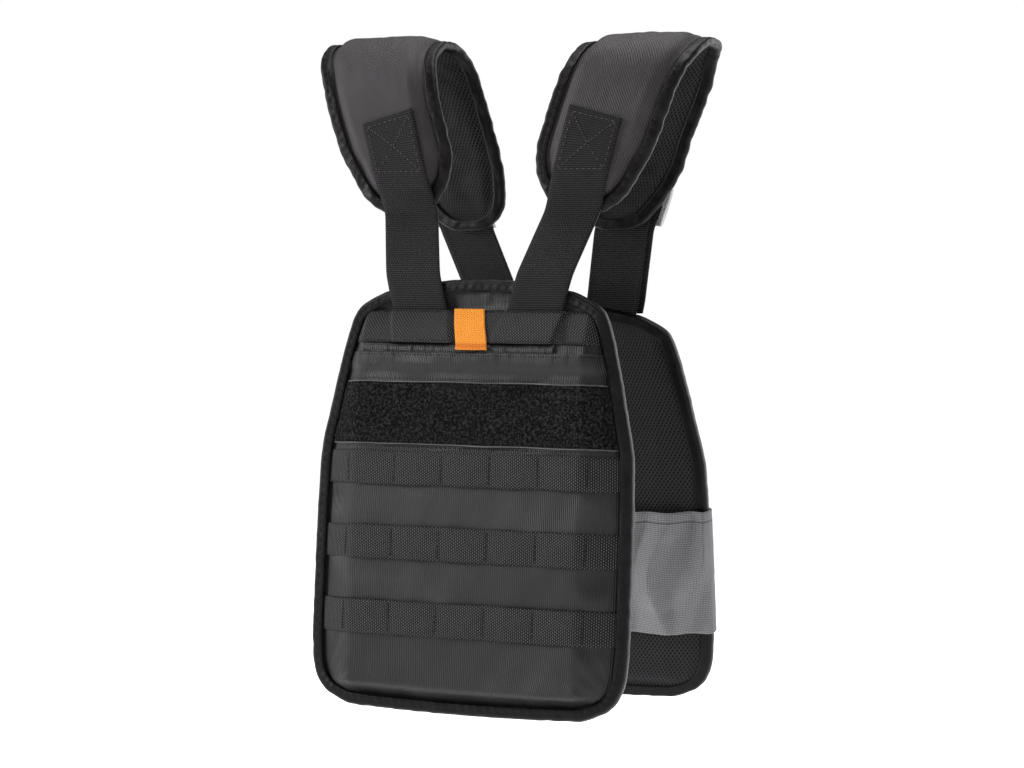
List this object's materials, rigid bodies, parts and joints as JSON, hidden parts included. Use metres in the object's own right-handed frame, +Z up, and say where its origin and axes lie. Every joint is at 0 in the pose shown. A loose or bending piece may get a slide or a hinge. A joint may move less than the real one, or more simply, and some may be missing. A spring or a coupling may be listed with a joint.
{
  "type": "weighted vest",
  "caption": "Weighted training vest: a front and a back panel with a weight plate in each, hung from two padded shoulder straps, with an elastic waist band round the back panel.",
  "frame": {"origin": "midway between the two shoulder pads, where their undersides rest on the shoulders", "axes": "+Z up, the front panel faces -Y, +X to the right of someone who looks at the front"},
  "size_m": [0.315, 0.2468, 0.5255],
  "materials": {
    "ribbed_cloth": "woven black polyester with fine upright ribs and a soft sheen",
    "pad_twill": "dark grey twill over foam",
    "spacer_mesh": "black spacer mesh with small holes",
    "edge_tape": "black folded edge tape, slightly glossy",
    "webbing": "black woven webbing",
    "loop_pile": "black fuzzy loop pile",
    "orange_webbing": "bright orange woven webbing",
    "grey_elastic": "light grey knitted elastic",
    "pale_tape": "pale grey woven tape",
    "weight_plate": "plain cast iron plate"
  },
  "bodies": {
    "root": {"front_mesh_pad": "spacer_mesh", "back_mesh_pad": "spacer_mesh", "front_weight_plate": "weight_plate", "back_weight_plate": "weight_plate", "front_yoke": "ribbed_cloth", "back_yoke": "ribbed_cloth", "front_pocket": "ribbed_cloth", "back_pocket": "ribbed_cloth", "front_binding": "edge_tape", "back_binding": "edge_tape", "front_top_band": "webbing", "back_top_band": "webbing", "loop_band": "loop_pile", "webbing_row_1": "webbing", "webbing_row_2": "webbing", "webbing_row_3": "webbing", "pull_tab": "orange_webbing", "waist_band": "grey_elastic", "front_strap_left": "webbing", "front_strap_right": "webbing", "back_strap_left": "webbing", "back_strap_right": "webbing", "strap_tail_left": "webbing", "strap_tail_right": "webbing", "strap_keeper_left": "pale_tape", "strap_keeper_right": "pale_tape", "pad_cover_left": "pad_twill", "pad_cover_right": "pad_twill", "pad_lining_left": "spacer_mesh", "pad_lining_right": "spacer_mesh", "pad_binding_left": "edge_tape", "pad_binding_right": "edge_tape"}
  },
  "joints": []
}
